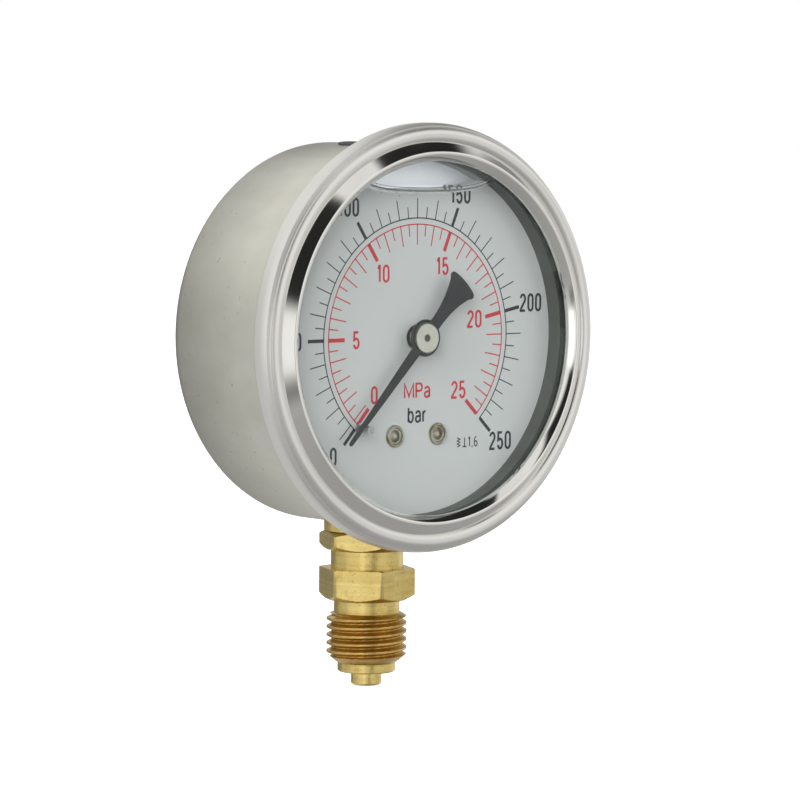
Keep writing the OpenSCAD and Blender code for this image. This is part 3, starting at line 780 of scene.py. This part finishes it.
def liquid_body():
    """Liquid between the dial and the window, with a meniscus all round its top surface."""
    slices, top_count, wall_count = 20, 60, 150
    verts = []
    for s in range(slices + 1):
        # Slices stand closer together near the window and the dial
        turn = 2 * math.pi * s / slices
        y = LIQUID_FRONT + (LIQUID_BACK - LIQUID_FRONT) * (turn - 0.8 * math.sin(turn)) / (2 * math.pi)
        end = liquid_end(y)
        end_angle = math.atan2(end, liquid_height(end, y))
        for i in range(top_count):
            x = -end + 2 * end * i / top_count
            verts.append((x, y, AXIS_H + liquid_height(x, y)))
        for i in range(wall_count):
            a = end_angle + (2 * math.pi - 2 * end_angle) * i / wall_count
            verts.append((LIQUID_R * math.sin(a), y, AXIS_H + LIQUID_R * math.cos(a)))
    count = top_count + wall_count
    faces = loft_faces(slices + 1, count)
    faces.append(tuple(range(count))[::-1])
    faces.append(tuple(slices * count + i for i in range(count)))
    obj = mesh_object("filling_liquid", verts, faces)
    fix_normals(obj)
    obj.data.materials.append(LIQUID)
    obj.data.materials.append(LIQUID_TOP)
    for face in obj.data.polygons:
        face.material_index = int(face.normal.z > 0.2 and face.center.z > (AXIS_H + LIQUID_LEVEL - 2) * MM)
    obj.data.shade_smooth()
    obj.data.set_sharp_from_angle(angle=math.radians(40))
    return obj


def meniscus_dark_strip(name, above, tall):
    """Thin sheet of painted shade for the dark edge of the meniscus along the window, above the surface by
    some height.
    """
    y = LIQUID_FRONT + 0.05
    end = liquid_end(y) - 0.05
    verts, steps = [], 90
    for i in range(steps + 1):
        x = -end + 2 * end * i / steps
        z = AXIS_H + liquid_height(x, y) + above
        verts += [(x, y, z), (x, y + 0.04, z), (x, y + 0.04, z + tall), (x, y, z + tall)]
    faces = loft_faces(steps + 1, 4)
    faces += [(0, 1, 2, 3), (4 * steps, 4 * steps + 1, 4 * steps + 2, 4 * steps + 3)]
    obj = mesh_object(name, verts, faces)
    fix_normals(obj)
    return obj


# Bubbles: (x, height over the surface, radius)
BUBBLES = (
    (-9.4, 0.30, 0.10), (-7.1, 0.34, 0.12), (-4.0, 0.30, 0.10), (-1.6, 0.28, 0.08), (-9.9, -0.5, 0.09),
    (-6.2, -0.7, 0.10), (2.6, 0.3, 0.08),
)


def bubbles():
    """Small bubbles that cling to the window along the meniscus."""
    verts, faces, rows, columns = [], [], 6, 10
    for x, above, r in BUBBLES:
        y = LIQUID_FRONT + 0.15
        z = AXIS_H + liquid_height(x, y) + above
        faces += loft_faces(rows + 1, columns, base=len(verts))
        for i in range(rows + 1):
            tilt = math.pi * i / rows
            for k in range(columns):
                turn = 2 * math.pi * k / columns
                flat = r * math.sin(tilt)
                verts.append((x + flat * math.cos(turn), y + flat * math.sin(turn), z + r * math.cos(tilt)))
    obj = mesh_object("filling_bubbles", verts, faces)
    fix_normals(obj)
    return obj


place(liquid_body(), "root", "window_clear", None)
# Painted shade: the two sheets along the window and the real bubbles wear a dark, nearly opaque material for
# the meniscus's dark look.
place(meniscus_dark_strip("meniscus_dark_low", -0.02, 0.3), "root", "window_clear", MENISCUS_DARK)
place(meniscus_dark_strip("meniscus_dark_high", 0.6, 0.1), "root", "window_clear", MENISCUS_DARK)
place(bubbles(), "root", "window_clear", MENISCUS_DARK)


# ---------------------------------------------------------------- floor, light and camera
FLOOR_HALF = 4000
corners = [(x * FLOOR_HALF, y * FLOOR_HALF, 0) for x, y in ((-1, -1), (1, -1), (1, 1), (-1, 1))]
floor = mesh_object("floor", corners, [(0, 1, 2, 3)])
floor.location.z = stem_low.z - 0.0002
floor_material = material("floor_pale", lambda g: {
    "Base Color": g.ramp(g.noise(g.coords(), 3, 2, 0.5), (0.3, 0.93), (0.7, 0.95)),
    "Roughness": 0.9,
    "Emission Color": (1, 1, 1, 1),
    "Emission Strength": 0.5,
})
floor.visible_glossy = False
floor.visible_transmission = False
floor.data.materials.append(floor_material)


def area_light(name, centre, side, power):
    """Square lamp that faces the gauge and shows in no reflection."""
    data = bpy.data.lights.new(name, "AREA")
    data.shape = "SQUARE"
    data.size, data.energy = side * MM, power
    obj = bpy.data.objects.new(name, data)
    obj.location = Vector(centre) * MM
    obj.rotation_euler = (Vector(CENTRE) * MM - obj.location).to_track_quat("-Z", "Y").to_euler()
    obj.visible_glossy = False
    obj.visible_transmission = False
    bpy.context.scene.collection.objects.link(obj)


CENTRE = (0, 0, 45)
area_light("key", (-1000, -800, 350), 1300, 35)
area_light("fill", (500, -1100, 200), 1200, 22)
area_light("front", (0, -1200, -100), 1200, 22)


def studio(g):
    """Brightness of the room by direction: patches with soft edges, each (azimuths, elevations, value)."""
    x, y, z = g("SeparateXYZ", Vector=g("TexCoord").outputs["Generated"]).outputs
    azimuth = g.math("MULTIPLY", g.math("ARCTAN2", x, g.math("MULTIPLY", y, -1.0)), 180 / math.pi)
    elevation = g.math("MULTIPLY", g.math("ARCSINE", z), 180 / math.pi)

    def rising(value, start, soft):
        smoothstep = ("interpolation_type", "SMOOTHSTEP")
        return g("MapRange", smoothstep, Value=value, From_Min=start - soft, From_Max=start + soft)

    def falling(value, end, soft):
        return g.math("SUBTRACT", 1.0, rising(value, end, soft))

    tone = g.ramp(g.math("DIVIDE", g.math("ADD", elevation, 90.0), 180.0), *BASE_TONES).outputs[0]
    for (az0, az1), (el0, el1), value, soft in ROOM:
        across = g.math("MULTIPLY", rising(azimuth, az0, soft), falling(azimuth, az1, soft))
        upright = g.math("MULTIPLY", rising(elevation, el0, soft), falling(elevation, el1, soft))
        tone = g.mix(g.math("MULTIPLY", across, upright), tone, (value, value, value, 1))
    seen = g.mix(g("LightPath").outputs["Is Camera Ray"], tone, (1, 1, 1, 1))
    g("OutputWorld", Surface=g("Background", Color=seen, Strength=1.0))


# Brightness from straight down (0) to straight up (1)
BASE_TONES = ((0.0, 0.34), (0.34, 0.42), (0.46, 0.96), (0.75, 0.96), (1.0, 0.8))
# Azimuth 0 is in front of the dial and grows to the right; elevation is above the horizon
ROOM = (
    ((-186, -112), (-75, 22), 0.66, 10),
    ((112, 186), (-75, 22), 0.66, 10),
    ((-186, -112), (22, 80), 0.95, 10),
    ((112, 186), (22, 80), 0.95, 10),
    ((84, 150), (18, 75), 0.28, 6),
    ((26, 70), (46, 75), 0.02, 4),
    ((56, 92), (38, 75), 0.02, 4),
    ((-50, -14), (10, 48), 0.02, 4),
    ((-24, -5), (33, 50), 0.02, 3),
    ((-12, 20), (50, 66), 0.85, 4),
    ((-24, -10), (-15, 10), 0.35, 4),
    ((-96, -48), (-14, 12), 1.05, 4),
    ((-60, -46), (-14, 12), 1.6, 3),
    ((-45, -29), (-12, 6), 1.05, 4),
    ((-52, -18), (-24, -16), 0.25, 4),
    ((34, 80), (-20, 12), 0.70, 8),
    ((150, 186), (-24, 14), 0.32, 6),
    ((-186, -156), (-24, 14), 0.32, 6),
)
world = bpy.data.worlds.new("studio")
bpy.context.scene.world = world
bpy.context.scene.view_settings.view_transform = "Standard"
world.use_nodes = True
studio(Graph(world.node_tree))

# Camera: the point it looks at and its distance in millimetres, its angles in degrees, its lens
AIM = Vector((-6.23, -15.5, 45.75))
VIEW_AZIMUTH, VIEW_ELEVATION, VIEW_ROLL = (math.radians(v) for v in (-40.07, 4.19, 0.44))
VIEW_DISTANCE = 631.3
VIEW_LENS = 178.2
away = Vector((
    math.sin(VIEW_AZIMUTH) * math.cos(VIEW_ELEVATION),
    -math.cos(VIEW_AZIMUTH) * math.cos(VIEW_ELEVATION),
    math.sin(VIEW_ELEVATION),
))
camera_data = bpy.data.cameras.new("camera")
camera_data.lens = VIEW_LENS
camera_data.sensor_width = 36
camera_data.clip_start, camera_data.clip_end = 0.01, 20
camera = bpy.data.objects.new("camera", camera_data)
camera.location = (AIM + away * VIEW_DISTANCE) * MM
camera.rotation_mode = "QUATERNION"
turn = (-away).to_track_quat("-Z", "Y")
camera.rotation_quaternion = turn @ Matrix.Rotation(VIEW_ROLL, 3, "Z").to_quaternion()
bpy.context.scene.collection.objects.link(camera)
bpy.context.scene.camera = camera
